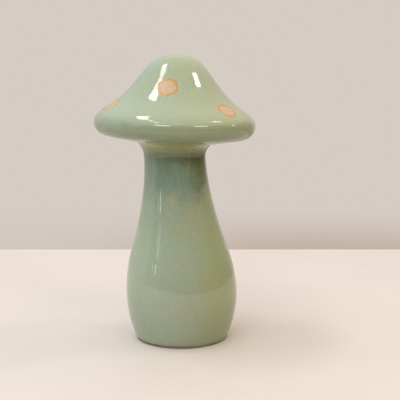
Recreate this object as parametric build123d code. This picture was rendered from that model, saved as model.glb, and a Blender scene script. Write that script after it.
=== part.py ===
from build123d import *
from math import cos, radians, sin, sqrt
import os

# A hollow ceramic mushroom that stands on its foot. It is made of two slip-cast
# shells, a stem and a cap, joined at the neck by a ring of slip. Each shell wears
# a coat of green glaze, and the cap's coat has islands of a second, buff glaze.
# Millimetres, Z up, origin at the centre of the foot, on the surface it stands on.
# X runs to the right and Y away from whoever looks at the front.

# Stem, measured over the glaze: radii and the heights where they are
foot_radius = 36.0
foot_flare = 16.0
heel_radius = 40.4
heel_height = 14.0
belly_radius = 43.4
belly_height = 36.0
hip_radius = 40.1
hip_height = 62.0
waist_radius = 34.0
waist_height = 82.5
throat_radius = 27.4
throat_height = 109.0
neck_radius = 23.9
neck_height = 143.0

# Flare from the neck out to the cap, an arc that starts upright and turns outwards
flare_radius = 12.0
flare_turn = 56.44
flare_height = flare_radius * sin(radians(flare_turn))

# The stem stands upright to a height, then leans to the left on its way up,
# and the cap tips the other way, over the last stretch below the flare
lean_start_height = 30.0
lean = 5.8
lean_power = 1.25
tilt_run = 18.0
tilt_start_height = neck_height - tilt_run
cap_tilt = 2.2

# Cap, measured over the glaze, with heights from the crease below the cap.
# The rim overhangs the edge of the flatter underside.
cap_radius = 62.1
rim_height = 14.7
rim_overhang = 12.1
underside_radius = cap_radius - rim_overhang
underside_height = 4.1
cap_height = 67.6

# Outline of the rim from the underside out to the widest ring, and of the flank
# from there in to the top, as shares of the way across and of the way up
rim_outline_shares = [(0.59, 0.21), (0.90, 0.57)]
flank_outline_shares = [
    (0.015, 0.078),
    (0.077, 0.161),
    (0.251, 0.306),
    (0.390, 0.454),
    (0.551, 0.686),
    (0.688, 0.870),
    (0.824, 0.965),
]

# Walls and coats
stem_wall = 4.5
cap_wall = 5.0
floor_thickness = 6.0
glaze_thickness = 0.6
slip_thickness = 1.5

# Foot: a bare ring round a shallow recess, with a vent for the kiln
bare_foot_height = 2.0
foot_edge_radius = 1.2
foot_ring_width = 5.0
foot_recess_depth = 1.6
vent_radius = 4.0

# Buff spots: two rings of them round the cap's axis, each as far in from the
# widest ring as its inset, and one small stray dab. Bearings are in degrees,
# anticlockwise from the right as seen from above.
crown_spot_inset = 28.0
crown_ring_radius = cap_radius - crown_spot_inset
crown_spot_radius = 7.8
front_crown_bearing = -99.0
rear_right_crown_bearing = 21.0
rear_left_crown_bearing = 141.0
brim_spot_inset = 11.6
brim_ring_radius = cap_radius - brim_spot_inset
brim_spot_radius = 8.1
right_brim_bearing = -40.0
rear_brim_bearing = 80.0
left_brim_bearing = -159.0
spot_outline_shares = {
    "front_crown_spot": (1.00, 1.07, 1.07, 1.02, 1.04, 0.90, 0.91, 0.98, 0.92, 1.00),
    "rear_right_crown_spot": (0.97, 1.03, 0.94, 1.05, 1.08, 0.96, 0.91, 1.02, 1.06, 0.93),
    "rear_left_crown_spot": (1.06, 0.95, 1.01, 1.08, 0.93, 0.90, 1.03, 1.05, 0.96, 1.02),
    "right_brim_spot": (1.05, 1.05, 0.92, 0.91, 0.97, 1.03, 1.10, 1.02, 1.05, 0.98),
    "rear_brim_spot": (0.94, 1.02, 1.09, 0.97, 0.92, 1.05, 1.01, 0.90, 0.98, 1.07),
    "left_brim_spot": (1.14, 0.98, 0.94, 0.98, 0.88, 0.93, 1.02, 0.89, 0.88, 1.05),
}
dab_inset = 15.6
dab_ring_radius = cap_radius - dab_inset
dab_bearing = -86.0
dab_length = 4.4
dab_breadth = 2.4

# How far a cut runs past the piece that it cuts
overrun = 4.0

# How many sections, points and steps follow a curve
stem_sections = 14
flare_sections = 5
coat_points = 26
search_steps = 40
end_speeds = (1, 1)


def stem_outline():
    # Half of the stem's outline from foot to neck, as radius across and height up
    flared = (sin(radians(foot_flare)), cos(radians(foot_flare)))
    points = [
        (foot_radius, 0),
        (heel_radius, heel_height),
        (belly_radius, belly_height),
        (hip_radius, hip_height),
        (waist_radius, waist_height),
        (throat_radius, throat_height),
        (neck_radius, neck_height),
    ]
    return Spline(points, tangents=(flared, (0, 1)), tangent_scalars=end_speeds)


def flare_reach(rise, depth):
    # Radius of the flare at a rise above the neck, at a depth under the glaze's face
    return neck_radius + flare_radius - sqrt((flare_radius + depth) ** 2 - rise**2)


lip_rise = flare_height - slip_thickness
lip_height = neck_height + lip_rise
lip_bore_radius = flare_reach(lip_rise, glaze_thickness + stem_wall)


def stem_stations(depth):
    # Radius and height of each section of the stem, from the foot to the lip
    outline = stem_outline()
    stations = []
    for step in range(stem_sections):
        share = step / (stem_sections - 1)
        point = outline @ share
        slope = outline % share
        stations.append((point.X - depth / slope.Y, point.Y))
    for step in range(1, flare_sections + 1):
        rise = lip_rise * sin(radians(90 * step / flare_sections))
        stations.append((flare_reach(rise, depth), neck_height + rise))
    return stations


def stem_plane(height):
    # Where a section of the stem lies: off to the left, and tipped near the cap
    leaning = max(0, height - lean_start_height)
    shift = lean * (leaning / (neck_height + flare_height - lean_start_height)) ** lean_power
    tipping = max(0, height - tilt_start_height)
    turn = radians(cap_tilt) * tipping / (lip_height - tilt_start_height)
    return Plane((-shift, 0, height), x_dir=(cos(turn), 0, -sin(turn)), z_dir=(sin(turn), 0, cos(turn)))


def stem_form(depth):
    # The whole stem as a solid, at a depth under the glaze's face
    return loft([stem_plane(height) * Circle(radius) for radius, height in stem_stations(depth)])


def upright_disc(radius, thickness):
    # A disc that stands on the ground plane
    return Cylinder(radius, thickness, align=(Align.CENTER, Align.CENTER, Align.MIN))


def stem_shell():
    # The cast stem: an even wall, a floor, and a foot ring with a vent inside it
    cavity = stem_form(glaze_thickness + stem_wall)
    cavity = split(cavity, bisect_by=Plane.XY.offset(floor_thickness), keep=Keep.TOP)
    shell = stem_form(glaze_thickness) - cavity
    foot_edge = shell.edges().group_by(Axis.Z)[0]
    shell = fillet(foot_edge, foot_edge_radius)
    shell -= upright_disc(foot_radius - glaze_thickness - foot_ring_width, foot_recess_depth)
    return shell - upright_disc(vent_radius, floor_thickness + overrun)


def stem_glaze():
    # The stem's coat, from just above the bare foot up to the lip
    coat = stem_form(0) - stem_form(glaze_thickness)
    return split(coat, bisect_by=Plane.XY.offset(bare_foot_height), keep=Keep.TOP)


def crease_point(depth):
    # Where the flare runs into the cap's underside
    return Vector(flare_reach(flare_height + depth, depth), depth)


def flare_strip(depth):
    # The flare's last stretch, from the stem's lip up to the crease
    rises = (lip_rise, (lip_rise + flare_height + depth) / 2, flare_height + depth)
    return ThreePointArc(*[(flare_reach(rise, depth), rise - flare_height) for rise in rises])


def cap_face_curve():
    # The cap's outline over the glaze, from the underside round the rim to the top
    across = cap_radius - underside_radius
    up = rim_height - underside_height
    above = cap_height - rim_height
    points = [(underside_radius, underside_height)]
    points += [(underside_radius + across * a, underside_height + up * b) for a, b in rim_outline_shares]
    points += [(cap_radius, rim_height)]
    points += [(cap_radius - cap_radius * a, rim_height + above * b) for a, b in flank_outline_shares]
    points += [(0, cap_height)]
    outwards = Vector(underside_radius, underside_height) - crease_point(0)
    return Spline(points, tangents=(outwards, (-1, 0)), tangent_scalars=end_speeds)


def cap_curve(depth):
    # The same outline at a depth under the glaze's face, its points moved square to it
    face = cap_face_curve()
    if depth == 0:
        return face
    points = []
    for step in range(coat_points + 1):
        share = step / coat_points
        along = face % share
        points.append(face @ share + Vector(-along.Y, along.X) * depth)
    return Spline(points, tangents=(face % 0, face % 1), tangent_scalars=end_speeds)


def turned(edges):
    # A solid of revolution about the upright axis, from the edges of its half section
    return revolve(Plane.XZ * make_face(edges), Axis.Z)


def cap_shell():
    # The cast cap: an even wall, open below where the stem's bore comes up
    outside = cap_curve(glaze_thickness)
    inside = cap_curve(glaze_thickness + cap_wall)
    crease = crease_point(glaze_thickness)
    inner_crease = crease + Vector(0, cap_wall)
    bore_low = Vector(lip_bore_radius, crease.Y)
    bore_high = Vector(lip_bore_radius, inner_crease.Y)
    bottom = Polyline(inside @ 0, inner_crease, bore_high, bore_low, crease, outside @ 0)
    return turned([outside, Line(outside @ 1, inside @ 1), inside, bottom])


def cap_coat():
    # The coat all over the cap, down past the slip ring to the stem's lip
    face = cap_curve(0)
    back = cap_curve(glaze_thickness)
    face_strip = flare_strip(0)
    back_strip = flare_strip(glaze_thickness)
    edges = [
        face,
        Line(face @ 1, back @ 1),
        back,
        Line(back @ 0, back_strip @ 1),
        back_strip,
        Line(back_strip @ 0, face_strip @ 0),
        face_strip,
        Line(face_strip @ 1, face @ 0),
    ]
    return turned(edges)


def neck_slip_ring():
    # The ring of slip that joins the stem's lip to the cap's underside
    outside = flare_strip(glaze_thickness)
    bore_low = Vector(lip_bore_radius, (outside @ 0).Y)
    bore_high = Vector(lip_bore_radius, (outside @ 1).Y)
    return turned([outside, Polyline(outside @ 1, bore_high, bore_low, outside @ 0)])


def spot_outline(radius, shares):
    # An uneven round outline through points at equal turns
    points = []
    for step, share in enumerate(shares):
        turn = radians(360 * step / len(shares))
        points.append((radius * share * cos(turn), radius * share * sin(turn)))
    return make_face(Spline(points, periodic=True))


def spot_cutter(outline, ring_radius, bearing):
    # An outline's prism, square to the cap's face where it touches it there
    face = cap_face_curve()
    low = face.param_at_point((cap_radius, rim_height))
    high = 1
    for _ in range(search_steps):
        middle = (low + high) / 2
        if (face @ middle).X > ring_radius:
            low = middle
        else:
            high = middle
    point = face @ high
    along = face % high
    touch = Plane((point.X, 0, point.Y), x_dir=(0, 1, 0), z_dir=(along.Y, 0, -along.X))
    return Rot(Z=bearing) * (touch * extrude(outline, overrun, both=True))


def spot_cutters():
    # A prism for each spot and for the stray dab
    places = {
        "front_crown_spot": (crown_spot_radius, crown_ring_radius, front_crown_bearing),
        "rear_right_crown_spot": (crown_spot_radius, crown_ring_radius, rear_right_crown_bearing),
        "rear_left_crown_spot": (crown_spot_radius, crown_ring_radius, rear_left_crown_bearing),
        "right_brim_spot": (brim_spot_radius, brim_ring_radius, right_brim_bearing),
        "rear_brim_spot": (brim_spot_radius, brim_ring_radius, rear_brim_bearing),
        "left_brim_spot": (brim_spot_radius, brim_ring_radius, left_brim_bearing),
    }
    cutters = {}
    for name, (spot_radius, ring_radius, bearing) in places.items():
        outline = spot_outline(spot_radius, spot_outline_shares[name])
        cutters[name] = spot_cutter(outline, ring_radius, bearing)
    dab = Ellipse(dab_length / 2, dab_breadth / 2)
    cutters["stray_dab"] = spot_cutter(dab, dab_ring_radius, dab_bearing)
    return cutters


def write(name, piece):
    # One file for each piece
    solids = piece.solids()
    print(name, len(solids), "solid", round(piece.volume, 1), "cubic mm")
    export_step(solids[0] if len(solids) == 1 else Compound(solids), f"parts/{name}.step")


os.makedirs("parts", exist_ok=True)
seat = stem_plane(lip_height).offset(slip_thickness)
coat = cap_coat()
cutters = spot_cutters()
write("stem_shell", stem_shell())
write("stem_glaze", stem_glaze())
write("neck_slip_ring", seat * neck_slip_ring())
write("cap_shell", seat * cap_shell())
write("cap_glaze", seat * (coat - list(cutters.values())))
for name, cutter in cutters.items():
    write(name, seat * (coat & cutter))
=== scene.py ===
import bpy
import math
import numpy as np
from bpy.props import FloatProperty, FloatVectorProperty, IntProperty, PointerProperty
from bpy.types import NodeSocket, Operator, Panel, PropertyGroup
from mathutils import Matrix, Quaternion, Vector


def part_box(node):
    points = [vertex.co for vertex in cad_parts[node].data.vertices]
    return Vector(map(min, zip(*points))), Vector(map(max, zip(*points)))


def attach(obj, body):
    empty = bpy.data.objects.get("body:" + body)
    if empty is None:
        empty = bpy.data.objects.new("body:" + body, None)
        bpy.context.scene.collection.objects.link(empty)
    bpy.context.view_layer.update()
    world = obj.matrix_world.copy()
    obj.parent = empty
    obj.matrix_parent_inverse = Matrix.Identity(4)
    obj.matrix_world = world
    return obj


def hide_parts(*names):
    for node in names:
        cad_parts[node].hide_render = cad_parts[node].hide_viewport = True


bl_info = {
    "name": "Ceramic mushroom",
    "version": (1, 0, 0),
    "blender": (4, 5, 0),
    "location": "View3D > Sidebar > Mushroom",
    "description": "Dresses a hollow ceramic mushroom in its glazes and sets its stage",
    "category": "Object",
}

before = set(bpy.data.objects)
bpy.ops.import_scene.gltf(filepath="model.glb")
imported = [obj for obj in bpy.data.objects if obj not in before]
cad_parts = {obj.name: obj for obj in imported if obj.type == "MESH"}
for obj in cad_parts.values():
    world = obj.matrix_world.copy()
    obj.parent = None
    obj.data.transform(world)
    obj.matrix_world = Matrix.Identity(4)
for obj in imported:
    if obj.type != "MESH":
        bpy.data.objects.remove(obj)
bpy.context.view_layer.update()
glaze_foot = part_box("stem_glaze")[0].z

MILLIMETRE = 0.001
BODY = "root"
CROWN_SPOTS = ("front_crown_spot", "rear_right_crown_spot", "rear_left_crown_spot")
BRIM_SPOTS = ("right_brim_spot", "rear_brim_spot", "left_brim_spot")
DAB = "stray_dab"
SPOTS = (*CROWN_SPOTS, *BRIM_SPOTS, DAB)

# Stem: radius and height of the outline's points, in metres
STEM_POINTS = (
    (0.0360, 0.0),
    (0.0404, 0.0140),
    (0.0434, 0.0360),
    (0.0401, 0.0620),
    (0.0340, 0.0825),
    (0.0274, 0.1090),
    (0.0239, 0.1430),
)

# Outlines of the rim and of the flank, as shares of the way across and of the way up
RIM_OUTLINE_SHARES = ((0.59, 0.21), (0.90, 0.57))
FLANK_OUTLINE_SHARES = (
    (0.015, 0.078),
    (0.077, 0.161),
    (0.251, 0.306),
    (0.390, 0.454),
    (0.551, 0.686),
    (0.688, 0.870),
    (0.824, 0.965),
)

# Radius of each spot's outline at ten equal turns, as shares of the spot's radius
SPOT_OUTLINE_SHARES = {
    "front_crown_spot": (1.00, 1.07, 1.07, 1.02, 1.04, 0.90, 0.91, 0.98, 0.92, 1.00),
    "rear_right_crown_spot": (0.97, 1.03, 0.94, 1.05, 1.08, 0.96, 0.91, 1.02, 1.06, 0.93),
    "rear_left_crown_spot": (1.06, 0.95, 1.01, 1.08, 0.93, 0.90, 1.03, 1.05, 0.96, 1.02),
    "right_brim_spot": (1.05, 1.05, 0.92, 0.91, 0.97, 1.03, 1.10, 1.02, 1.05, 0.98),
    "rear_brim_spot": (0.94, 1.02, 1.09, 0.97, 0.92, 1.05, 1.01, 0.90, 0.98, 1.07),
    "left_brim_spot": (1.14, 0.98, 0.94, 0.98, 0.88, 0.93, 1.02, 0.89, 0.88, 1.05),
}

# The drip that hangs from the front spot, measured from the spot's middle: how far to the
# right it lies, where it starts and ends, its radius, and how it tapers downwards
DRIP_SIDE, DRIP_TOP, DRIP_END, DRIP_RADIUS = (v * MILLIMETRE for v in (1.5, -6.4, -8.9, 0.62))
DRIP_WIDTH, DRIP_TAPER = 1.25, 0.5

# The dab's edge is too thin to show its colour, which starts this far inside it
DAB_THIN_EDGE = 0.6 * MILLIMETRE

# How far off a spot is on the cap's other side, in metres, and the most that the skins
# store of a distance, in millimetres
OTHER_SIDE = 1.0
MOST_DISTANCE = 20.0

# Rows of points up the stem and the flare, past the lip, across the underside and over
# the cap, and the finer steps from which the stem's rows and the spots' places are read
STEM_ROWS, FLARE_ROWS, LIP_ROWS, UNDERSIDE_ROWS, CAP_ROWS = 116, 12, 6, 20, 150
STEM_STEPS, FLANK_STEPS = 900, 3000

# Waves that cross in the glaze: their number, seed and lengths, and the mean, the swing and
# the most of the dips that they make, as shares of the waviness
WAVE_COUNT, WAVE_SEED = 26, 7
WAVE_LENGTHS = (0.022, 0.060)
DIP_MEAN, DIP_SWING, DIP_MOST = 0.6, 0.4, 2

# A skin is slightly thinner than the glaze, so that its inside stays clear of the clay
SKIN_SHARE = 0.98

# How far the glaze's lowest rows draw back above the foot, as shares of its thickness
FOOT_ROLL_SHARES = (0.62, 0.28, 0.07)


def length(name, description, default):
    """A length in metres."""
    return FloatProperty(
        name=name, description=description, default=default, unit="LENGTH", precision=4
    )


def angle(name, description, degrees):
    """An angle whose default is given in degrees."""
    return FloatProperty(
        name=name, description=description, default=math.radians(degrees), subtype="ANGLE"
    )


def colour(name, description, default):
    """A colour of a glaze, of clay or of the stage."""
    return FloatVectorProperty(
        name=name, description=description, default=default, size=3, subtype="COLOR", min=0, max=1
    )


class StemSizes(PropertyGroup):
    foot_flare: angle("Foot flare", "How far the stem leans out at its foot", 16)
    flare_radius: length("Flare radius", "Radius of the arc from the neck out to the cap", 0.012)
    flare_turn: angle("Flare turn", "How far the flare turns outwards below the cap", 56.44)
    lean: length("Lean", "How far the stem leans to the left by the cap", 0.0058)
    lean_start: length("Lean starts", "Height where the stem starts to lean", 0.030)
    lean_power: FloatProperty(
        name="Lean power", description="How the lean gathers with height", default=1.25
    )
    tilt: angle("Cap tilt", "How far the cap tips to the right", 2.2)
    tilt_run: length("Tilt run", "Stretch of the neck over which the tilt builds up", 0.018)
    slip: length("Slip thickness", "Thickness of the slip between stem and cap", 0.0015)


class CapSizes(PropertyGroup):
    radius: length("Cap radius", "Radius of the cap at its widest ring", 0.0621)
    rim_height: length("Rim height", "Height of the widest ring above the crease", 0.0147)
    rim_overhang: length("Rim overhang", "How far the rim stands out past the underside", 0.0121)
    underside_height: length(
        "Underside height", "Height of the underside's edge above the crease", 0.0041
    )
    height: length("Cap height", "Height of the cap above the crease", 0.0676)
    crown_spot_inset: length(
        "Crown spot inset", "How far in from the rim the crown's spots lie", 0.028
    )
    crown_spot_radius: length("Crown spot radius", "Radius of a spot on the crown", 0.0078)
    brim_spot_inset: length(
        "Brim spot inset", "How far in from the rim the brim's spots lie", 0.0116
    )
    brim_spot_radius: length("Brim spot radius", "Radius of a spot near the brim", 0.0081)
    crown_bearing: angle("Crown bearing", "Bearing of the front spot on the crown", -99)
    brim_bearing: angle("Brim bearing", "Bearing of the right spot near the brim", -40)
    dab_inset: length("Dab inset", "How far in from the rim the stray dab lies", 0.0156)
    dab_bearing: angle("Dab bearing", "Bearing of the stray dab", -86)
    dab_length: length("Dab length", "Length of the stray dab", 0.0044)
    dab_breadth: length("Dab breadth", "Breadth of the stray dab", 0.0024)


class GlazeLook(PropertyGroup):
    thickness: length("Glaze thickness", "Thickness of the glaze on the clay", 0.0006)
    waviness: length("Waviness", "Depth of the slow waves in the glaze", 0.00009)
    columns: IntProperty(name="Columns", description="Steps round the glaze", default=400, min=48)
    green: colour("Green", "The green glaze where it lies evenly", (0.408, 0.482, 0.325))
    olive: colour("Olive", "The green glaze where it is warmer", (0.440, 0.470, 0.262))
    celadon: colour("Celadon", "The green glaze where it is cooler", (0.385, 0.482, 0.355))
    fleck: colour("Fleck", "Dark flecks in the green glaze", (0.22, 0.26, 0.20))
    # Partly the bluer glaze pooled below the neck, partly painted shade from the cap
    pool_and_shade: colour("Pooled glaze", "The glaze lying thick below the neck", (0.278, 0.378, 0.272))
    # Painted shade: the colour of the dark ring under the flare
    shade_ring: colour("Deep glaze", "The darkest ring, under the flare", (0.220, 0.250, 0.108))
    thin: colour("Thin glaze", "The glaze where it thins on the flare", (0.395, 0.425, 0.152))
    buff: colour("Buff", "The spots' glaze", (0.585, 0.425, 0.250))
    burnt: colour("Burnt edge", "The spots' glaze where it breaks", (0.57, 0.272, 0.038))
    halo: colour("Halo", "The green glaze that rings a spot", (0.42, 0.52, 0.39))
    clay: colour("Clay", "The fired clay where it is bare", (0.30, 0.24, 0.18))


class StageLook(PropertyGroup):
    floor: colour("Floor", "The table that the mushroom stands on", (0.745, 0.682, 0.625))
    wall: colour("Wall", "The plain surround", (0.665, 0.604, 0.552))
    # Painted shade along the foot of the wall
    wall_foot_shade: colour("Wall foot", "The surround just above the table", (0.509, 0.408, 0.322))


# Shapes


def clamped_curve(points, start, end, steps):
    """Points along a smooth curve through the given ones, with its end directions fixed."""
    points = np.array(points, float)
    chord = np.hypot(*np.diff(points, axis=0).T)
    reach = np.concatenate([[0], np.cumsum(chord)])
    count = len(points)
    system = np.zeros((count, count))
    target = np.zeros((count, 2))
    system[0, 0] = system[-1, -1] = 1
    target[0] = np.array(start) / np.hypot(*start)
    target[-1] = np.array(end) / np.hypot(*end)
    for i in range(1, count - 1):
        before, after = chord[i - 1], chord[i]
        system[i, i - 1 : i + 2] = 1 / before, 2 / before + 2 / after, 1 / after
        rise = (points[i] - points[i - 1]) / before**2 + (points[i + 1] - points[i]) / after**2
        target[i] = 3 * rise
    slopes = np.linalg.solve(system, target)
    along = np.linspace(0, reach[-1], steps)
    part = np.clip(np.searchsorted(reach, along, side="right") - 1, 0, count - 2)
    span = chord[part][:, None]
    u = (along - reach[part])[:, None] / span
    return (
        (1 + 2 * u) * (1 - u) ** 2 * points[part]
        + u * (1 - u) ** 2 * span * slopes[part]
        + u * u * (3 - 2 * u) * points[part + 1]
        + u * u * (u - 1) * span * slopes[part + 1]
    )


class Shape:
    """The mushroom's glazed face, worked out from its sizes."""

    def __init__(self, stem, cap):
        self.stem, self.cap = stem, cap
        self.neck_radius, self.neck_height = STEM_POINTS[-1]
        self.flare_height = stem.flare_radius * math.sin(stem.flare_turn)
        self.lip_rise = self.flare_height - stem.slip
        self.lip_height = self.neck_height + self.lip_rise
        lip = self.stem_places(np.zeros(1), np.array([self.lip_height]), np.zeros(1))[0]
        self.seat_up = np.array([math.sin(stem.tilt), 0, math.cos(stem.tilt)])
        self.seat_across = np.array([math.cos(stem.tilt), 0, -math.sin(stem.tilt)])
        self.seat_back = np.array([0, 1, 0])
        self.seat = lip + stem.slip * self.seat_up

    def stem_places(self, radius, height, bearing):
        """Where points of the stem lie, from their radius, height and bearing."""
        stem = self.stem
        leaning = np.maximum(0, height - stem.lean_start)
        whole = self.neck_height + self.flare_height - stem.lean_start
        shift = stem.lean * (leaning / whole) ** stem.lean_power
        tipping = np.maximum(0, height - (self.neck_height - stem.tilt_run))
        turn = stem.tilt * tipping / (stem.tilt_run + self.lip_rise)
        out = radius * np.cos(bearing)
        x, y, z = out * np.cos(turn) - shift, radius * np.sin(bearing), height - out * np.sin(turn)
        return np.stack([x, y, z], axis=-1)

    def cap_places(self, radius, height, bearing):
        """Where points of the cap lie, from their radius, height and bearing on its own axis."""
        return (
            self.seat
            + (radius * np.cos(bearing))[..., None] * self.seat_across
            + (radius * np.sin(bearing))[..., None] * self.seat_back
            + height[..., None] * self.seat_up
        )

    def flare_reach(self, rise):
        """Radius of the flare at a rise above the neck."""
        bend = self.stem.flare_radius
        return self.neck_radius + bend - np.sqrt(bend**2 - rise**2)

    def stem_profile(self):
        """Radius and height up the stem's face, from the glaze's foot to the lip."""
        flared = (math.sin(self.stem.foot_flare), math.cos(self.stem.foot_flare))
        body = clamped_curve(STEM_POINTS, flared, (0, 1), STEM_STEPS)
        heights = np.linspace(glaze_foot, self.neck_height, STEM_ROWS)
        radii = np.interp(heights, body[:, 1], body[:, 0])
        rises = self.lip_rise * np.sin(np.linspace(0, math.pi / 2, FLARE_ROWS + 1)[1:])
        flare = np.stack([self.flare_reach(rises), self.neck_height + rises], axis=1)
        return np.concatenate([np.stack([radii, heights], axis=1), flare])

    def cap_face(self, steps):
        """Radius and height from the underside's edge round the rim to the top."""
        cap = self.cap
        edge = cap.radius - cap.rim_overhang
        foot, brim = (edge, cap.underside_height), (cap.radius, cap.rim_height)
        top = (0, cap.height)
        up, above = brim[1] - foot[1], top[1] - brim[1]
        rim = [(edge + cap.rim_overhang * a, foot[1] + up * b) for a, b in RIM_OUTLINE_SHARES]
        flank = [(cap.radius * (1 - a), brim[1] + above * b) for a, b in FLANK_OUTLINE_SHARES]
        crease = float(self.flare_reach(self.flare_height))
        outwards, inwards = (edge - crease, cap.underside_height), (-1, 0)
        return clamped_curve([foot, *rim, brim, *flank, top], outwards, inwards, steps)

    def cap_profile(self):
        """Radius and height over the cap's face, from the stem's lip to the top."""
        rises = np.linspace(self.lip_rise, self.flare_height, LIP_ROWS)
        strip = np.stack([self.flare_reach(rises), rises - self.flare_height], axis=1)
        face = self.cap_face(CAP_ROWS)
        under = np.linspace(strip[-1], face[0], UNDERSIDE_ROWS + 2)[1:-1]
        return np.concatenate([strip, under, face])


def slow_waves(places):
    """An uneven offset at each place, between about -1 and 1, from crossing waves."""
    draw = np.random.default_rng(WAVE_SEED)
    total = np.zeros(places.shape[:-1])
    for _ in range(WAVE_COUNT):
        direction = draw.normal(size=3)
        direction /= np.linalg.norm(direction)
        wavelength = draw.uniform(*WAVE_LENGTHS)
        phase = draw.uniform(0, 2 * math.pi)
        total += np.sin(places @ direction * (2 * math.pi / wavelength) + phase)
    return total / math.sqrt(WAVE_COUNT)


def unit(vectors):
    """The vectors, each brought to a length of one."""
    return vectors / np.maximum(np.linalg.norm(vectors, axis=-1, keepdims=True), 1e-12)


def square_to(grid, top):
    """Unit directions square to a grid that closes round its second axis, with its top row's."""
    down = np.gradient(grid, axis=0)
    around = np.roll(grid, -1, axis=1) - np.roll(grid, 1, axis=1)
    out = unit(np.cross(around, down))
    out[-1] = top
    return out


def glazed_grid(scene):
    """The whole glazed face as one grid: its shape, places, directions out and lip row."""
    shape = Shape(scene.mushroom_stem, scene.mushroom_cap)
    look = scene.mushroom_glaze
    bearing = np.linspace(0, 2 * math.pi, look.columns, endpoint=False)[None, :]
    stem, cap = [
        [np.repeat(values[:, None], look.columns, axis=1) for values in profile.T]
        for profile in (shape.stem_profile(), shape.cap_profile())
    ]
    lower = shape.stem_places(*stem, bearing)
    upper = shape.cap_places(*cap, bearing)
    grid = np.concatenate([lower[:-1], upper])
    dip = look.waviness * np.clip(DIP_MEAN + DIP_SWING * slow_waves(grid), 0, DIP_MOST)
    grid = grid - square_to(grid, shape.seat_up) * dip[..., None]
    return shape, grid, square_to(grid, shape.seat_up), len(lower) - 1


def quads(first_row, last_row, columns):
    """Faces between the rows of a grid that closes round."""
    row = np.arange(first_row, last_row)[:, None] * columns
    column = np.arange(columns)[None, :]
    after = (column + 1) % columns
    above = row + columns
    faces = np.stack([row + column, row + after, above + after, above + column], axis=-1)
    return faces.reshape(-1, 4)


def spot_places(shape):
    """Middle, sideways, upwards and outwards directions of each spot, with its size."""
    cap = shape.cap
    wanted = {DAB: (cap.dab_inset, cap.dab_bearing, cap.dab_length / 2)}
    for names, inset, bearing, size in (
        (CROWN_SPOTS, cap.crown_spot_inset, cap.crown_bearing, cap.crown_spot_radius),
        (BRIM_SPOTS, cap.brim_spot_inset, cap.brim_bearing, cap.brim_spot_radius),
    ):
        for i, name in enumerate(names):
            wanted[name] = (inset, bearing + 2 * math.pi / len(names) * i, size)
    face = shape.cap_face(FLANK_STEPS)
    flank = face[face[:, 1] > cap.rim_height]
    reach = 2
    places = {}
    for name, (inset, bearing, size) in wanted.items():
        k = int(np.argmin(np.abs(flank[:, 0] - (cap.radius - inset))))
        k = min(max(k, reach), len(flank) - 1 - reach)
        slope = flank[k + reach] - flank[k - reach]
        slope /= np.hypot(*slope)
        turned = np.array([bearing])
        middle = shape.cap_places(flank[k : k + 1, 0], flank[k : k + 1, 1], turned)[0]
        origin = shape.cap_places(np.zeros(1), np.zeros(1), turned)[0]
        up = shape.cap_places(slope[:1], slope[1:], turned)[0] - origin
        side = shape.cap_places(np.array([1.0]), np.zeros(1), turned + math.pi / 2)[0] - origin
        places[name] = (middle, side, up, np.cross(side, up), size)
    return places


def smooth_round(values, turns):
    """A smooth curve through evenly spaced values that closes on itself, read at its turns."""
    steps = turns * len(values)
    first = np.floor(steps).astype(int) % len(values)
    u = steps - np.floor(steps)
    before, here, after, later = [
        np.take(values, (first + k) % len(values)) for k in (-1, 0, 1, 2)
    ]
    bend = 2 * before - 5 * here + 4 * after - later
    twist = 3 * (here - after) + later - before
    return here + 0.5 * u * (after - before + u * (bend + u * twist))


def spot_distance(name, places, spot, cap):
    """How far each place lies outside a spot's outline, negative inside it."""
    middle, side, up, out, size = spot
    away = places - middle
    x, y, z = away @ side, away @ up, away @ out
    if name == DAB:
        stretch = cap.dab_length / cap.dab_breadth
        distance = (np.hypot(x, y * stretch) - size) / np.where(np.abs(x) > np.abs(y), 1, stretch)
    else:
        turns = np.arctan2(y, x) % (2 * math.pi) / (2 * math.pi)
        distance = np.hypot(x, y) - size * smooth_round(SPOT_OUTLINE_SHARES[name], turns)
    if name == "front_crown_spot":
        along = np.clip(y, DRIP_END, DRIP_TOP)
        taper = DRIP_TAPER * (DRIP_TOP - along) / (DRIP_TOP - DRIP_END)
        drip = np.hypot(x - DRIP_SIDE, y - along) - DRIP_RADIUS * (DRIP_WIDTH - taper)
        distance = np.minimum(distance, drip)
    return np.where(np.abs(z) < size, distance, OTHER_SIDE)


def add_object(name, data):
    """An object put into the scene."""
    added = bpy.data.objects.new(name, data)
    bpy.context.scene.collection.objects.link(added)
    return added


def add_mesh(name, points, faces):
    """A mesh put into the scene, from its points and faces."""
    mesh = bpy.data.meshes.new(name)
    mesh.from_pydata(points, [], faces)
    return add_object(name, mesh)


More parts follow.
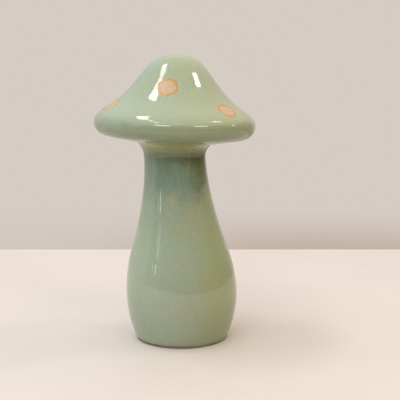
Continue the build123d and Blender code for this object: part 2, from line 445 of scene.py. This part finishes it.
def skin(name, places, outward, faces, thickness, edge_distance):
    """A closed skin of glaze, from the faces of its outside and the glaze's thickness."""
    used, index = np.unique(np.concatenate([f.ravel() for f in faces]), return_inverse=True)
    count = len(used)
    normals = outward[used]
    points = np.concatenate([places[used], places[used] - normals * (thickness * SKIN_SHARE)])
    ends = np.cumsum([f.size for f in faces])[:-1]
    outer = [part.reshape(f.shape) for part, f in zip(np.split(index, ends), faces)]
    inner = [f[:, ::-1] + count for f in outer]
    # Walls stand on the edges that only one face of the outside has
    sides = [np.stack([f, np.roll(f, -1, axis=1)], axis=-1).reshape(-1, 2) for f in outer]
    edges = np.concatenate(sides)
    codes = edges[:, 0] * count + edges[:, 1]
    rim = edges[~np.isin(codes, edges[:, 1] * count + edges[:, 0])]
    walls = np.stack([rim[:, 1], rim[:, 0], rim[:, 0] + count, rim[:, 1] + count], axis=1)
    every = [face for group in (*outer, *inner, walls) for face in group.tolist()]
    piece = add_mesh(name, points.tolist(), every)
    corner = points[walls]
    wall_normals = unit(np.cross(corner[:, 1] - corner[:, 0], corner[:, 3] - corner[:, 0]))
    loops = [normals[f.ravel()] for f in outer] + [-normals[(f - count).ravel()] for f in inner]
    loops.append(np.repeat(wall_normals, 4, axis=0))
    piece.data.shade_smooth()
    piece.data.normals_split_custom_set(np.concatenate(loops).tolist())
    layer = piece.data.attributes.new("edge_distance", "FLOAT", "POINT")
    layer.data.foreach_set("value", np.tile(edge_distance[used], 2).astype(np.float32))
    return piece


# Nodes that the materials are made of

# Outputs of a group that makes a surface's finish
FINISH = [("Color", "Color"), ("Gloss", "Float"), ("Relief", "Float")]

# Values between which nearly all of a noise lies
NOISE_SPAN = (0.3, 0.7)

UNTINTED = (1, 1, 1, 1)


def new_group(name, inputs, outputs):
    """An empty node group with its named sockets."""
    group = bpy.data.node_groups.new(name, "ShaderNodeTree")
    for label, kind, value in inputs:
        socket = group.interface.new_socket(
            label, in_out="INPUT", socket_type="NodeSocket" + kind
        )
        if value is not None:
            socket.default_value = value
    for label, kind in outputs:
        group.interface.new_socket(label, in_out="OUTPUT", socket_type="NodeSocket" + kind)
    take, give = group.nodes.new("NodeGroupInput"), group.nodes.new("NodeGroupOutput")
    return group, take.outputs, give.inputs


def deliver(group, give, **results):
    """Links a group's results to its outputs of the same names."""
    for label, result in results.items():
        group.links.new(result, give[label])
    return group


def put(tree, kind, settings=None, **inputs):
    """A node with its settings, and its inputs by name, or by number as i0, i1 and so on."""
    node = tree.nodes.new("ShaderNode" + kind)
    for key, value in (settings or {}).items():
        setattr(node, key, value)
    for key, value in inputs.items():
        label = int(key[1:]) if key[0] == "i" and key[1:].isdigit() else key.replace("_", " ")
        socket = node.inputs[label]
        if isinstance(value, NodeSocket):
            tree.links.new(value, socket)
        else:
            socket.default_value = value
    return node


def maths(tree, operation, first, second):
    """Arithmetic on two values."""
    return put(tree, "Math", {"operation": operation}, i0=first, i1=second).outputs[0]


def plus(tree, first, *others):
    """The values added up."""
    for other in others:
        first = maths(tree, "ADD", first, other)
    return first


def times(tree, first, *others):
    """The values multiplied by one another."""
    for other in others:
        first = maths(tree, "MULTIPLY", first, other)
    return first


def vector_maths(tree, operation, first, second):
    """Arithmetic on two places or colours."""
    return put(tree, "VectorMath", {"operation": operation}, i0=first, i1=second).outputs[0]


def scaled(tree, vector, factor):
    """A place or colour multiplied by a plain value."""
    return put(tree, "VectorMath", {"operation": "SCALE"}, i0=vector, Scale=factor).outputs[0]


def axes(tree, place):
    """How far a place lies to the right, to the back and up."""
    return put(tree, "SeparateXYZ", None, Vector=place).outputs


def ramp(tree, value, low, high, to_low=0.0, to_high=1.0):
    """A smooth step of a value from one level to another."""
    settings = {"interpolation_type": "SMOOTHSTEP"}
    levels = {"From_Min": low, "From_Max": high, "To_Min": to_low, "To_Max": to_high}
    return put(tree, "MapRange", settings, Value=value, **levels).outputs[0]


def blend(tree, share, first, second):
    """A mix of two colours."""
    return put(tree, "Mix", {"data_type": "RGBA"}, i0=share, i6=first, i7=second).outputs[2]


def tinted(tree, tone, share, tint):
    """A colour multiplied by a tint, as far as its share goes."""
    return vector_maths(tree, "MULTIPLY", tone, blend(tree, share, UNTINTED, tint))


def noise(tree, place, scale, detail=2.0, roughness=0.5):
    """Soft noise, with its scale in waves to the millimetre."""
    values = {"Scale": scale, "Detail": detail, "Roughness": roughness}
    return put(tree, "TexNoise", None, Vector=place, **values).outputs[0]


def uneven(tree, place, scale, low, high, detail=2.0, roughness=0.5):
    """Noise that wanders from one level to another."""
    return ramp(tree, noise(tree, place, scale, detail, roughness), *NOISE_SPAN, low, high)


def dots(tree, place, scale, size, chance, channel):
    """Round dots from their middles out, of which chance makes some fainter or leaves them out."""
    cells = put(tree, "TexVoronoi", None, Vector=place, Scale=scale).outputs
    odds = put(tree, "SeparateColor", None, Color=cells["Color"]).outputs[channel]
    return times(tree, ramp(tree, cells["Distance"], *size, 1.0, 0.0), ramp(tree, odds, *chance))


def paint(value):
    """A colour with full cover."""
    return (*value, 1)


def millimetres(tree):
    """The place on the object, in millimetres."""
    return scaled(tree, put(tree, "TexCoord").outputs["Object"], 1 / MILLIMETRE)


# Effects that more than one material uses


def glaze_mottle_group():
    """Clouds, streaks, flecks and pinholes of a green reactive glaze, with its gloss and relief."""
    inputs = [("Place", "Vector", None)]
    inputs += [(tone, "Color", None) for tone in ("Green", "Olive", "Celadon", "Fleck")]
    inputs += [("Drift", "Float", 0.0), ("Streaks", "Float", 0.0), ("Flecks", "Float", 1.0)]
    group, take, give = new_group("Glaze mottle", inputs, FINISH)
    place = take["Place"]
    cloud_share, grain_share, run_share, fleck_share, pit_share = 0.55, 0.14, 0.12, 0.42, 0.8
    turning_olive, run_span = (0.13, 0.42), (0.40, 0.66)
    # Radius of a fleck or pit from its full strength to none, as a share of its cell, and
    # the chance that it shows
    fleck_size, fleck_chance = (0.10, 0.24), (0.35, 0.85)
    pit_size, pit_chance = (0.03, 0.075), (0.45, 0.55)
    # Clouds of celadon and olive, and plain green between them; the drift towards olive from left
    # to right is painted warm light on the right
    clouds = noise(group, place, 0.05, detail=3.0, roughness=0.55)
    drift = times(group, axes(group, place)[0], take["Drift"])
    drift = plus(group, drift, times(group, clouds, cloud_share))
    tone = blend(group, ramp(group, drift, *turning_olive), take["Celadon"], take["Olive"])
    elsewhere = vector_maths(group, "ADD", place, (31, 7, 12))
    patches = uneven(group, elsewhere, 0.11, 0.3, 1.0, detail=3.0, roughness=0.6)
    tone = blend(group, patches, take["Green"], tone)
    # Fine runs that follow the glaze down the sides
    drawn = put(group, "Mapping", None, Vector=place, Scale=(1, 1, 0.06)).outputs[0]
    runs = noise(group, drawn, 0.55, detail=3.0, roughness=0.6)
    runs = times(group, ramp(group, runs, *run_span, -0.5, 0.5), take["Streaks"])
    # A fine grain of light and dark
    grain = uneven(group, place, 0.9, -0.5, 0.5, detail=4.0, roughness=0.7)
    light = plus(group, times(group, grain, grain_share), times(group, runs, run_share), 1.0)
    shaded = scaled(group, tone, light)
    # Small flecks and a few pits, with their round shapes pulled about
    pull = put(group, "TexNoise", None, Vector=place, Scale=0.7).outputs[1]
    settings = {"operation": "MULTIPLY_ADD"}
    warped = put(group, "VectorMath", settings, i0=pull, i1=(0.9, 0.9, 0.9), i2=place).outputs[0]
    flecks = dots(group, warped, 0.42, fleck_size, fleck_chance, channel=0)
    flecks = times(group, flecks, take["Flecks"])
    pits = dots(group, warped, 0.16, pit_size, pit_chance, channel=1)
    pits = times(group, pits, take["Flecks"])
    marks = [times(group, flecks, fleck_share), times(group, pits, pit_share)]
    return deliver(
        group,
        give,
        Color=blend(group, maths(group, "MAXIMUM", *marks), shaded, take["Fleck"]),
        Gloss=uneven(group, place, 0.2, 0.045, 0.08),
        Relief=maths(group, "SUBTRACT", noise(group, place, 0.35, roughness=0.4), pits),
    )


def spot_group():
    """A spot of buff glaze laid over the green, from the distance to its outline in millimetres."""
    group, take, give = new_group(
        "Glaze spot",
        [
            ("Place", "Vector", None),
            ("Distance", "Float", MOST_DISTANCE),
            ("Ground", "Color", None),
            ("Gloss", "Float", 0.06),
            ("Relief", "Float", 0.5),
            ("Buff", "Color", None),
            ("Burnt", "Color", None),
            ("Halo", "Color", None),
        ],
        FINISH,
    )
    place = take["Place"]
    wide_span = (0.25, 0.75)
    # Distances out from the outline over which each part of the spot fades
    body_edge, halo_edge, burnt_edge = (-0.15, 0.3), (0.2, 2.4), (-3.0, -1.15)
    halo_share, burnt_share, duller = 0.55, 0.9, 0.30
    # The outline wanders by half a millimetre, and trembles by less
    coarse = ramp(group, noise(group, place, 0.42), *wide_span, -0.55, 0.55)
    fine = ramp(group, noise(group, place, 1.7), *wide_span, -0.28, 0.28)
    distance = plus(group, take["Distance"], plus(group, coarse, fine))
    body = ramp(group, distance, *body_edge, 1.0, 0.0)
    # The burnt ring is wider in some places than in others
    inner = plus(group, distance, uneven(group, place, 0.16, -0.75, 0.55))
    burnt = ramp(group, inner, *burnt_edge)
    halo = times(group, ramp(group, distance, *halo_edge, 1.0, 0.0), halo_share)
    ringed = blend(group, halo, take["Ground"], take["Halo"])
    grain = uneven(group, place, 1.1, 0.93, 1.07, detail=3.0, roughness=0.65)
    buff = scaled(group, take["Buff"], grain)
    island = blend(group, times(group, burnt, burnt_share), buff, take["Burnt"])
    return deliver(
        group,
        give,
        Color=blend(group, body, ringed, island),
        Gloss=plus(group, take["Gloss"], times(group, body, duller)),
        Relief=maths(group, "SUBTRACT", take["Relief"], times(group, burnt, body)),
    )


def clay_group():
    """Sandy grain, soft clouds and open pores of fired clay."""
    inputs = [("Place", "Vector", None), ("Clay", "Color", None)]
    group, take, give = new_group("Clay grain", inputs, FINISH)
    place = take["Place"]
    grain = noise(group, place, 2.4, detail=5.0, roughness=0.7)
    clouds = uneven(group, place, 0.08, 0.9, 1.1, detail=3.0)
    light = plus(group, ramp(group, grain, *NOISE_SPAN, -0.12, 0.12), clouds)
    pores = put(group, "TexVoronoi", None, Vector=place, Scale=0.8).outputs["Distance"]
    return deliver(
        group,
        give,
        Color=scaled(group, take["Clay"], light),
        Gloss=ramp(group, grain, *NOISE_SPAN, 0.62, 0.78),
        Relief=plus(group, grain, ramp(group, pores, 0.05, 0.2)),
    )


def clouded_group():
    """A colour with faint soft clouds."""
    inputs = [
        ("Place", "Vector", None),
        ("Tone", "Color", None),
        ("Scale", "Float", 0.01),
        ("Spread", "Float", 0.02),
    ]
    group, take, give = new_group("Faint clouds", inputs, [("Color", "Color")])
    clouds = uneven(group, take["Place"], take["Scale"], -1.0, 1.0, detail=3.0)
    light = plus(group, times(group, clouds, take["Spread"]), 1.0)
    return deliver(group, give, Color=scaled(group, take["Tone"], light))


def place_group(tree, name, make, **inputs):
    """A node group placed in a material with its own values, built when first asked for."""
    group = bpy.data.node_groups.get(name) or make()
    return put(tree, "Group", {"node_tree": group}, **inputs).outputs


# Materials


def new_material(name):
    """An empty material and its node tree."""
    material = bpy.data.materials.new(name)
    material.use_nodes = True
    material.node_tree.nodes.clear()
    return material, material.node_tree


def finish_with(tree, color, gloss, relief, depth, strength):
    """The shader of a fired or dull surface, with its colour, gloss and relief."""
    bump = put(tree, "Bump", None, Strength=strength, Distance=depth, Height=relief).outputs[0]
    shader = put(tree, "BsdfPrincipled", None, Base_Color=color, Roughness=gloss, Normal=bump)
    tree.links.new(shader.outputs[0], put(tree, "OutputMaterial").inputs[0])
    return shader


def glaze_shader(tree, color, gloss, relief):
    """The hard clear gloss of fired glaze."""
    shader = finish_with(tree, color, gloss, relief, depth=0.00005, strength=0.35)
    shader.inputs["IOR"].default_value = 1.58


def mottled(tree, place, look, painted_light_lift, contrast, drift, streaks, flecks):
    """The green glaze's mottle in this ornament's own colours, scaled by a lift that paints light
    and shade: the same glaze lighter on the stem, darker on the cap.
    """
    tones = {
        label: paint([min(1, (g + (c - g) * contrast) * painted_light_lift) for g, c in zip(look.green, tone)])
        for label, tone in (("Green", look.green), ("Olive", look.olive), ("Celadon", look.celadon))
    }
    tones["Fleck"] = paint(look.fleck)
    amounts = {"Drift": drift, "Streaks": streaks, "Flecks": flecks}
    return place_group(tree, "Glaze mottle", glaze_mottle_group, Place=place, **tones, **amounts)


def stem_glaze_material(look):
    """Glossy green glaze with fine runs, bluer below the neck and thinner on the flare, with
    painted shade under the cap and painted warm light on the right.
    """
    material, tree = new_material("Stem green glaze")
    # Heights in millimetres between which each change comes in
    streaking, pooling_and_shading, neck_shade_rising, darkening = (85, 135), (104, 128), (114, 137), (130, 146)
    neck_shade_ending, thinning = (141, 147), (145, 151.5)
    # The same from left to right
    ring_shade_across, neck_shade_side, shading, warm_light_side = (-16, 8), (2, 17), (-30, 34), (4, 30)
    neck_shade_tint, shade_tint = (0.64, 0.57, 0.27, 1), (0.86, 0.86, 0.96, 1)
    warm_light_tint = (1, 1, 0.80, 1)
    pool_and_shade, shade_ring, thin = [
        paint([c / g for c, g in zip(tone, look.green)])
        for tone in (look.pool_and_shade, look.shade_ring, look.thin)
    ]
    place = millimetres(tree)
    across, _, rise = axes(tree, place)
    # Long fingers for the runs and a short tremble for the dark ring of painted shade
    height = plus(tree, rise, uneven(tree, place, 0.06, -7.0, 7.0))
    edge = plus(tree, rise, uneven(tree, place, 0.25, -1.2, 1.2))
    streaks = ramp(tree, height, *streaking, 0.25, 1.2)
    # Painted light: the lift draws this glaze lighter than on the cap, and the drift paints warmer
    # light on the right
    mottle = mottled(
        tree, place, look, painted_light_lift=1.05, contrast=0.85, drift=0.0055, streaks=streaks, flecks=1.0
    )
    # Bluer glaze pooled below the neck, darkened further as painted shade from the cap
    tint = blend(tree, ramp(tree, height, *pooling_and_shading, 0.0, 0.9), UNTINTED, pool_and_shade)
    # Painted shade: a dark ring under the cap's flare, strongest on the right
    ring_shade_side = ramp(tree, across, *ring_shade_across, 0.42, 1.12)
    band = times(tree, ramp(tree, edge, *darkening, 0.0, 0.72), ring_shade_side)
    tint = blend(tree, band, tint, shade_ring)
    # Painted shade and warm light: dark olive down the right of the neck, with a wandering edge
    neck_shade = times(
        tree,
        ramp(tree, across, *neck_shade_side),
        ramp(tree, height, *neck_shade_rising, 0.0, 0.85),
        ramp(tree, edge, *neck_shade_ending, 1.0, 0.3),
    )
    tint = tinted(tree, tint, neck_shade, neck_shade_tint)
    # Painted shade towards the right, and painted warm light on the right
    tint = tinted(tree, tint, ramp(tree, across, *shading), shade_tint)
    tint = tinted(tree, tint, ramp(tree, across, *warm_light_side), warm_light_tint)
    tint = blend(tree, ramp(tree, edge, *thinning), tint, thin)
    tone = vector_maths(tree, "MULTIPLY", mottle["Color"], tint)
    glaze_shader(tree, tone, mottle["Gloss"], mottle["Relief"])
    return material


def spotted_glaze_material(look, name):
    """Glossy green glaze round islands of buff glaze that breaks to brown at its edge, with painted
    shade under the rim and a painted reflection of the table by the crease.
    """
    material, tree = new_material(name)
    # Heights in millimetres between which each change comes in
    under_rim, below_crease = (161, 172), (158, 164)
    # From left to right, and outwards from the crease's middle
    rim_shade_side, crease_middle, crease_reach = (-55, 45), (-5.3, 0, 0), (29, 50)
    rim_shade_tint, table_reflection_tint = (0.88, 0.87, 0.78, 1), (1.24, 1.20, 0.93, 1)
    place = millimetres(tree)
    across, _, rise = axes(tree, place)
    # Painted shade: the lift draws this glaze darker than on the stem, and the drift paints warmer
    # light on the right
    mottle = mottled(
        tree, place, look, painted_light_lift=0.95, contrast=0.65, drift=0.0012, streaks=0.25, flecks=0.8
    )
    # Painted shade under the rim, most of all on the right
    side = ramp(tree, across, *rim_shade_side, 0.6, 1.3)
    pool_and_shade = times(tree, ramp(tree, rise, *under_rim, 1.0, 0.0), side)
    ground = tinted(tree, mottle["Color"], pool_and_shade, rim_shade_tint)
    # A painted reflection of the pale table, lighter and yellower towards the crease
    level = vector_maths(tree, "MULTIPLY", place, (1, 1, 0))
    settings = {"operation": "DISTANCE"}
    reach = put(tree, "VectorMath", settings, i0=level, i1=crease_middle).outputs["Value"]
    low = ramp(tree, rise, *below_crease, 1.0, 0.0)
    table_reflection = times(tree, ramp(tree, reach, *crease_reach, 1.0, 0.0), low)
    spot = place_group(
        tree,
        "Glaze spot",
        spot_group,
        Place=place,
        Distance=put(tree, "Attribute", {"attribute_name": "edge_distance"}).outputs["Fac"],
        Ground=tinted(tree, ground, table_reflection, table_reflection_tint),
        Gloss=mottle["Gloss"],
        Relief=mottle["Relief"],
        Buff=paint(look.buff),
        Burnt=paint(look.burnt),
        Halo=paint(look.halo),
    )
    glaze_shader(tree, spot["Color"], spot["Gloss"], spot["Relief"])
    return material


def clay_material(look, name, tone):
    """Bare fired clay: fine sandy grain with small open pores."""
    material, tree = new_material(name)
    clay = paint([c * tone for c in look.clay])
    grain = place_group(tree, "Clay grain", clay_group, Place=millimetres(tree), Clay=clay)
    color, gloss, relief = grain["Color"], grain["Gloss"], grain["Relief"]
    finish_with(tree, color, gloss, relief, depth=0.0002, strength=0.5)
    return material


def clouded(tree, place, tone, scale, spread):
    """A colour with faint clouds, at their scale in waves to the millimetre."""
    values = {"Place": place, "Tone": tone, "Scale": scale, "Spread": spread}
    return place_group(tree, "Faint clouds", clouded_group, **values)["Color"]


def floor_material(stage):
    """A plain pale table top with a faint soft mottle, which throws little light back up."""
    material, tree = new_material("Pale table")
    thrown_back = 0.74
    place = millimetres(tree)
    path = put(tree, "LightPath").outputs
    seen = maths(tree, "MAXIMUM", path["Is Camera Ray"], path["Is Glossy Ray"])
    seen = maths(tree, "MAXIMUM", seen, path["Is Transmission Ray"])
    tone = blend(tree, seen, paint([c * thrown_back for c in stage.floor]), paint(stage.floor))
    shade = clouded(tree, place, tone, scale=0.012, spread=0.015)
    relief = noise(tree, place, 0.4, detail=3.0)
    finish_with(tree, shade, 0.6, relief, depth=0.0001, strength=0.1)
    return material


def screen_material():
    """Dull dark cloth of the screen out of the picture, which pales towards its right end."""
    material, tree = new_material("Dark screen")
    # How far back the cloth starts and stops to pale, in millimetres
    paling = (100, 900)
    dark, pale = (0.09, 0.085, 0.08, 1), (0.55, 0.50, 0.46, 1)
    place = millimetres(tree)
    tone = blend(tree, ramp(tree, axes(tree, place)[1], *paling), dark, pale)
    shade = clouded(tree, place, tone, scale=0.01, spread=0.05)
    relief = noise(tree, place, 0.8, detail=3.0)
    finish_with(tree, shade, 0.9, relief, depth=0.0005, strength=0.1)
    return material


def surround(stage):
    """The plain pale surround, which grows lighter overhead and is cooler on the left, with painted
    shade at the foot of the wall.
    """
    world = bpy.data.worlds.new("Surround")
    world.use_nodes = True
    tree = world.node_tree
    tree.nodes.clear()
    # How far up a direction points, and how far to the right, as each change comes in
    above_table, overhead = (-0.215, -0.15), (0.18, 0.62)
    foot_shade_side, warm_side = (-0.17, 0.13), (-0.8, 0.8)
    cool, warm = (0.83, 0.895, 1.03, 1), (1.0, 0.85, 0.665, 1)
    across, _, up = axes(tree, put(tree, "TexCoord").outputs["Generated"])
    # Painted shade at the foot of the wall, most of all on the right
    side = ramp(tree, across, *foot_shade_side, 0.25, 1.0)
    low = times(tree, ramp(tree, up, *above_table, 1.0, 0.0), side)
    wall = blend(tree, low, paint(stage.wall), paint(stage.wall_foot_shade))
    roof = blend(tree, ramp(tree, across, *warm_side), cool, warm)
    tone = blend(tree, ramp(tree, up, *overhead), wall, roof)
    background = put(tree, "Background", None, Color=tone, Strength=1.0)
    tree.links.new(background.outputs[0], put(tree, "OutputWorld").inputs[0])
    return world


# Pieces


def settle(piece, node, material):
    """Gives a piece its finish, its body and the node it stands for."""
    piece.data.materials.append(material)
    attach(piece, BODY)
    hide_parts(node)


class MUSHROOM_OT_stem_coat(Operator):
    """Makes the stem's coat of green glaze"""

    bl_idname = "mushroom.stem_coat"
    bl_label = "Stem coat"

    def execute(self, context):
        look = context.scene.mushroom_glaze
        shape, grid, outward, lip = glazed_grid(context.scene)
        rows, columns = grid.shape[:2]
        # The glaze ends in a soft rolled edge above the bare foot
        roll = np.array(FOOT_ROLL_SHARES) * look.thickness
        grid[: len(roll)] -= outward[: len(roll)] * roll[:, None, None]
        outward = square_to(grid, shape.seat_up)
        piece = skin(
            "stem_coat",
            grid.reshape(-1, 3),
            outward.reshape(-1, 3),
            [quads(0, lip, columns)],
            look.thickness,
            np.full(rows * columns, MOST_DISTANCE),
        )
        settle(piece, "stem_glaze", stem_glaze_material(look))
        return {"FINISHED"}


class MUSHROOM_OT_cap_coat(Operator):
    """Makes the cap's coat of green glaze, the buff spots in its windows and the stray dab"""

    bl_idname = "mushroom.cap_coat"
    bl_label = "Cap coat and spots"

    def execute(self, context):
        look = context.scene.mushroom_glaze
        shape, grid, outward, lip = glazed_grid(context.scene)
        rows, columns = grid.shape[:2]
        # The grid's last row is one point, the top, with a fan of faces round it
        last = (rows - 2) * columns
        summit = last + columns
        places = grid.reshape(-1, 3)[: summit + 1]
        directions = outward.reshape(-1, 3)[: summit + 1]
        faces = quads(lip, rows - 2, columns)
        column = np.arange(columns)
        after = (column + 1) % columns
        top = np.stack([last + column, last + after, np.full(columns, summit)], axis=1)
        distances = {
            name: spot_distance(name, places, spot, shape.cap)
            for name, spot in spot_places(shape).items()
        }
        shown = {**distances, DAB: distances[DAB] + DAB_THIN_EDGE}
        nearest = np.min(list(shown.values()), axis=0) / MILLIMETRE
        nearest = np.minimum(nearest, MOST_DISTANCE)
        owner = np.full(len(faces), -1)
        for i, name in enumerate(SPOTS):
            owner[distances[name][faces].mean(axis=1) < 0] = i

        def cut(name, parts):
            return skin(name, places, directions, parts, look.thickness, nearest)

        coat = cut("cap_coat", [faces[owner < 0], top])
        green = spotted_glaze_material(look, "Cap green glaze")
        settle(coat, "cap_glaze", green)
        buff = spotted_glaze_material(look, "Buff spot glaze")
        for i, name in enumerate(SPOTS):
            piece = cut("glazed_" + name, [faces[owner == i]])
            settle(piece, name, buff)
        return {"FINISHED"}


class MUSHROOM_OT_clay(Operator):
    """Gives the cast shells and the ring of slip the finish of bare fired clay"""

    bl_idname = "mushroom.clay"
    bl_label = "Bare clay"

    def execute(self, context):
        look = context.scene.mushroom_glaze
        clay = clay_material(look, "Bare clay", tone=1.0)
        slip = clay_material(look, "Joining slip", tone=0.94)
        finishes = {"stem_shell": clay, "cap_shell": clay, "neck_slip_ring": slip}
        for node, material in finishes.items():
            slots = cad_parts[node].data.materials
            slots.clear()
            slots.append(material)
        return {"FINISHED"}


# Stage

# Left, right, front and back edges of the table, in metres from the mushroom's foot
TABLE_EDGES = (-0.62, 0.90, -0.50, 0.341)

# The screen bent round the front: its radius, its ends' bearings in degrees from the front,
# its lower and upper edges, and its steps
SCREEN_RADIUS = 1.3
SCREEN_BEARINGS = (-76, 140)
SCREEN_HEIGHTS = (-0.40, 0.78)
SCREEN_STEPS = 32

# The camera's place and how far it looks down in degrees, and its lens, which has this
# focal length in pixels for a picture this many pixels wide, on a sensor in millimetres
CAMERA_PLACE = (0.0143, -0.7175, 0.2154)
CAMERA_PITCH = 8.47
FOCAL_PIXELS, PICTURE_PIXELS, SENSOR_WIDTH = 934, 400, 36
NEAREST_SEEN = 0.01

# Where the lamps are aimed, and their two distances from there
LAMP_AIM = Vector((0, 0, 0.16))
NEAR, FAR = 1.2, 4.8

# Name, bearing and elevation in degrees, width and height as shares of the distance, tone,
# strength and distance of each lamp, and its roll in degrees where it has one
LAMPS = (
    ("roof_left", -108, 67.3, 0.215, 0.175, (0.97, 1.0, 1.0), 8.5, FAR),
    ("roof_left_sill", -82, 65.4, 0.19, 0.165, (1.0, 0.98, 0.94), 8, FAR),
    ("roof_front_upper", -49, 63, 0.13, 0.10, (1.0, 0.92, 0.78), 9, FAR),
    ("roof_front_lower", -29, 49, 0.10, 0.20, (1.0, 0.90, 0.74), 6, FAR),
    ("roof_right", 96.5, 52.3, 0.18, 0.068, (1.0, 0.95, 0.84), 18, FAR, -38),
    ("low_left", -53, 12.9, 0.13, 0.07, (0.70, 0.88, 1.0), 1.5, NEAR),
    ("low_left_pane", -62, 5.2, 0.018, 0.056, (0.62, 0.84, 1.0), 6, NEAR),
    ("low_left_edge", -54.5, 4.4, 0.030, 0.118, (0.62, 0.84, 1.0), 10, NEAR),
    ("left_soft", -50, 25, 0.45, 0.30, (0.80, 0.92, 1.0), 0.65, NEAR),
    ("front_soft", -10, 50, 0.75, 0.25, (1.0, 1.0, 0.98), 0.95, NEAR),
    ("front_left", -15.5, 26.0, 0.35, 0.14, (1.0, 0.98, 0.95), 9, NEAR),
    ("front_right", 41, 27, 0.33, 0.12, (1.0, 0.93, 0.82), 8, NEAR),
    ("right_small", 94, 20, 0.12, 0.08, (1.0, 0.93, 0.82), 10, NEAR),
)


def hang_lamp(name, bearing, elevation, width, height, tone, radiance, away, roll=0):
    """A soft lamp aimed at the mushroom, as wide and high as its shares of its distance."""
    data = bpy.data.lights.new(name, "AREA")
    data.shape = "RECTANGLE"
    data.size, data.size_y = width * away, height * away
    data.color = tone
    data.energy = radiance * math.pi * data.size * data.size_y
    light = add_object(name, data)
    b, e = math.radians(bearing), math.radians(elevation)
    towards = Vector((math.sin(b) * math.cos(e), -math.cos(b) * math.cos(e), math.sin(e)))
    rolled = Quaternion((0, 0, 1), math.radians(roll))
    light.location = LAMP_AIM + away * towards
    light.rotation_mode = "QUATERNION"
    light.rotation_quaternion = towards.to_track_quat("Z", "Y") @ rolled
    light.visible_camera = False


def lay_table(stage):
    """The table that the mushroom stands on."""
    left, right, front, back = TABLE_EDGES
    corners = [(left, front, 0), (right, front, 0), (right, back, 0), (left, back, 0)]
    floor = add_mesh("table_top", corners, [(0, 1, 2, 3)])
    floor.data.materials.append(floor_material(stage))


def hang_screen():
    """A dark screen bent round the front, seen only in the gloss."""
    bearing = np.radians(np.linspace(*SCREEN_BEARINGS, SCREEN_STEPS + 1))
    ring = np.stack([SCREEN_RADIUS * np.sin(bearing), -SCREEN_RADIUS * np.cos(bearing)], axis=1)
    points = [(x, y, z) for z in SCREEN_HEIGHTS for x, y in ring.tolist()]
    above = len(ring)
    faces = [(i, i + 1, i + 1 + above, i + above) for i in range(SCREEN_STEPS)]
    screen = add_mesh("front_screen", points, faces)
    screen.data.materials.append(screen_material())
    screen.visible_camera = False


def set_camera(scene):
    """The camera in front of the mushroom, which looks a little down on it."""
    camera = add_object("camera", bpy.data.cameras.new("camera"))
    camera.location = CAMERA_PLACE
    camera.rotation_euler = (math.radians(90 - CAMERA_PITCH), 0, 0)
    camera.data.sensor_width = SENSOR_WIDTH
    camera.data.lens = SENSOR_WIDTH * FOCAL_PIXELS / PICTURE_PIXELS
    camera.data.clip_start = NEAREST_SEEN
    scene.camera = camera


class MUSHROOM_OT_stage(Operator):
    """Lays the table, hangs the lamps and the surround, and sets the camera"""

    bl_idname = "mushroom.stage"
    bl_label = "Stage"

    def execute(self, context):
        scene = context.scene
        lay_table(scene.mushroom_stage)
        hang_screen()
        scene.world = surround(scene.mushroom_stage)
        for settings in LAMPS:
            hang_lamp(*settings)
        set_camera(scene)
        scene.view_settings.view_transform = "Standard"
        return {"FINISHED"}


# Add-on


class MUSHROOM_PT_panel(Panel):
    """Lists the mushroom's pieces and sizes in the sidebar"""

    bl_label = "Ceramic mushroom"
    bl_idname = "MUSHROOM_PT_panel"
    bl_space_type = "VIEW_3D"
    bl_region_type = "UI"
    bl_category = "Mushroom"

    def draw(self, context):
        for operator in OPERATORS:
            self.layout.operator(operator.bl_idname)
        for name in GROUPS:
            box = self.layout.box()
            box.label(text=name.replace("_", " ").capitalize())
            values = getattr(context.scene, name)
            for key in values.bl_rna.properties.keys():
                if key not in ("rna_type", "name"):
                    box.prop(values, key)


OPERATORS = (MUSHROOM_OT_clay, MUSHROOM_OT_stem_coat, MUSHROOM_OT_cap_coat, MUSHROOM_OT_stage)
GROUPS = {
    "mushroom_stem": StemSizes,
    "mushroom_cap": CapSizes,
    "mushroom_glaze": GlazeLook,
    "mushroom_stage": StageLook,
}


def register():
    for cls in (*GROUPS.values(), *OPERATORS, MUSHROOM_PT_panel):
        bpy.utils.register_class(cls)
    for name, group in GROUPS.items():
        setattr(bpy.types.Scene, name, PointerProperty(type=group))


def unregister():
    for name in GROUPS:
        delattr(bpy.types.Scene, name)
    for cls in reversed((*GROUPS.values(), *OPERATORS, MUSHROOM_PT_panel)):
        bpy.utils.unregister_class(cls)


def main():
    register()
    bpy.ops.mushroom.clay()
    bpy.ops.mushroom.stem_coat()
    bpy.ops.mushroom.cap_coat()
    bpy.ops.mushroom.stage()


if __name__ == "__main__":
    main()
